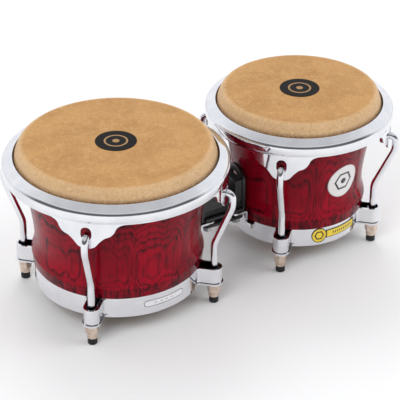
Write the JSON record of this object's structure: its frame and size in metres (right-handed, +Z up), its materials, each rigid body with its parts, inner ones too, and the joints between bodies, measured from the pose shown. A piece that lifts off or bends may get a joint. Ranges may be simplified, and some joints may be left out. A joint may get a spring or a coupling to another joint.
{
  "type": "bongo drums",
  "caption": "Bongo drums: flared wooden shells with hide heads, chromed rims drawn down by hooked tension rods and nuts, joined by a block on rubber grommets.",
  "frame": {"origin": "on the floor under the rubber caps, at the middle of the pair's length and width", "axes": "+X from the large drum (hembra) to the small one (macho), +Z up from the caps to the heads"},
  "size_m": [0.4874, 0.256, 0.1954],
  "materials": {
    "ash_lacquer": "satin lacquer",
    "hide": "matte",
    "chrome": "polished",
    "nickel": "satin",
    "zinc_steel": "satin",
    "rubber": "matte",
    "block_black": "satin",
    "patch_black": "matte",
    "plate_silver": "gloss",
    "badge_white": "gloss",
    "badge_yellow": "gloss"
  },
  "bodies": {
    "shells_and_block": {"hembra_shell": "ash_lacquer", "hembra_bottom_ring": "chrome", "hembra_skin": "hide", "hembra_head_patch": "patch_black", "hembra_washers": "zinc_steel", "hembra_block_plate": "block_black", "macho_shell": "ash_lacquer", "macho_bottom_ring": "chrome", "macho_skin": "hide", "macho_head_patch": "patch_black", "macho_washers": "zinc_steel", "macho_block_plate": "block_black", "hembra_ring_plate": "plate_silver", "macho_shell_badge": "badge_white", "macho_ring_badge": "badge_yellow", "block_body": "block_black", "block_plate_screws": "zinc_steel", "block_tie_bars": "block_black", "block_grommets": "rubber", "block_bolts": "zinc_steel"},
    "hembra_head": {"hembra_rim": "chrome", "hembra_flesh_hoop": "zinc_steel", "hembra_rubber_caps": "rubber", "hembra_tension_rod_1": "chrome", "hembra_tension_rod_2": "chrome", "hembra_tension_rod_3": "chrome", "hembra_tension_rod_4": "chrome"},
    "hembra_nut_1": {"hembra_tuning_nut_1": "nickel"},
    "hembra_nut_2": {"hembra_tuning_nut_2": "nickel"},
    "hembra_nut_3": {"hembra_tuning_nut_3": "nickel"},
    "hembra_nut_4": {"hembra_tuning_nut_4": "nickel"},
    "macho_head": {"macho_rim": "chrome", "macho_flesh_hoop": "zinc_steel", "macho_rubber_caps": "rubber", "macho_tension_rod_1": "chrome", "macho_tension_rod_2": "chrome", "macho_tension_rod_3": "chrome", "macho_tension_rod_4": "chrome"},
    "macho_nut_1": {"macho_tuning_nut_1": "nickel"},
    "macho_nut_2": {"macho_tuning_nut_2": "nickel"},
    "macho_nut_3": {"macho_tuning_nut_3": "nickel"},
    "macho_nut_4": {"macho_tuning_nut_4": "nickel"}
  },
  "joints": [
    {"name": "hembra_nut_1_turn", "type": "hinge", "parent": "shells_and_block", "child": "hembra_nut_1", "pos_m": [-0.19553, -0.07983, 0.016], "axis": [0, 0, 1], "range_deg": [0, 1152]},
    {"name": "hembra_nut_2_turn", "type": "hinge", "parent": "shells_and_block", "child": "hembra_nut_2", "pos_m": [-0.03587, -0.07983, 0.016], "axis": [0, 0, 1], "range_deg": [0, 1152]},
    {"name": "hembra_nut_3_turn", "type": "hinge", "parent": "shells_and_block", "child": "hembra_nut_3", "pos_m": [-0.03587, 0.07983, 0.016], "axis": [0, 0, 1], "range_deg": [0, 1152]},
    {"name": "hembra_nut_4_turn", "type": "hinge", "parent": "shells_and_block", "child": "hembra_nut_4", "pos_m": [-0.19553, 0.07983, 0.016], "axis": [0, 0, 1], "range_deg": [0, 1152]},
    {"name": "hembra_head_draw", "type": "slide", "parent": "shells_and_block", "child": "hembra_head", "axis": [0, 0, 1], "range_m": [-0.004, 0], "deforming": ["hembra_skin"]},
    {"name": "macho_nut_1_turn", "type": "hinge", "parent": "shells_and_block", "child": "macho_nut_1", "pos_m": [0.0661, -0.0664, 0.016], "axis": [0, 0, 1], "range_deg": [0, 1152]},
    {"name": "macho_nut_2_turn", "type": "hinge", "parent": "shells_and_block", "child": "macho_nut_2", "pos_m": [0.1989, -0.0664, 0.016], "axis": [0, 0, 1], "range_deg": [0, 1152]},
    {"name": "macho_nut_3_turn", "type": "hinge", "parent": "shells_and_block", "child": "macho_nut_3", "pos_m": [0.1989, 0.0664, 0.016], "axis": [0, 0, 1], "range_deg": [0, 1152]},
    {"name": "macho_nut_4_turn", "type": "hinge", "parent": "shells_and_block", "child": "macho_nut_4", "pos_m": [0.0661, 0.0664, 0.016], "axis": [0, 0, 1], "range_deg": [0, 1152]},
    {"name": "macho_head_draw", "type": "slide", "parent": "shells_and_block", "child": "macho_head", "axis": [0, 0, 1], "range_m": [-0.004, 0], "deforming": ["macho_skin"]}
  ],
  "couplings": [
    {"joint": "hembra_nut_1_turn", "follows": "hembra_head_draw", "rad_per_m": -5026.5},
    {"joint": "hembra_nut_2_turn", "follows": "hembra_head_draw", "rad_per_m": -5026.5},
    {"joint": "hembra_nut_3_turn", "follows": "hembra_head_draw", "rad_per_m": -5026.5},
    {"joint": "hembra_nut_4_turn", "follows": "hembra_head_draw", "rad_per_m": -5026.5},
    {"joint": "macho_nut_1_turn", "follows": "macho_head_draw", "rad_per_m": -5026.5},
    {"joint": "macho_nut_2_turn", "follows": "macho_head_draw", "rad_per_m": -5026.5},
    {"joint": "macho_nut_3_turn", "follows": "macho_head_draw", "rad_per_m": -5026.5},
    {"joint": "macho_nut_4_turn", "follows": "macho_head_draw", "rad_per_m": -5026.5}
  ]
}
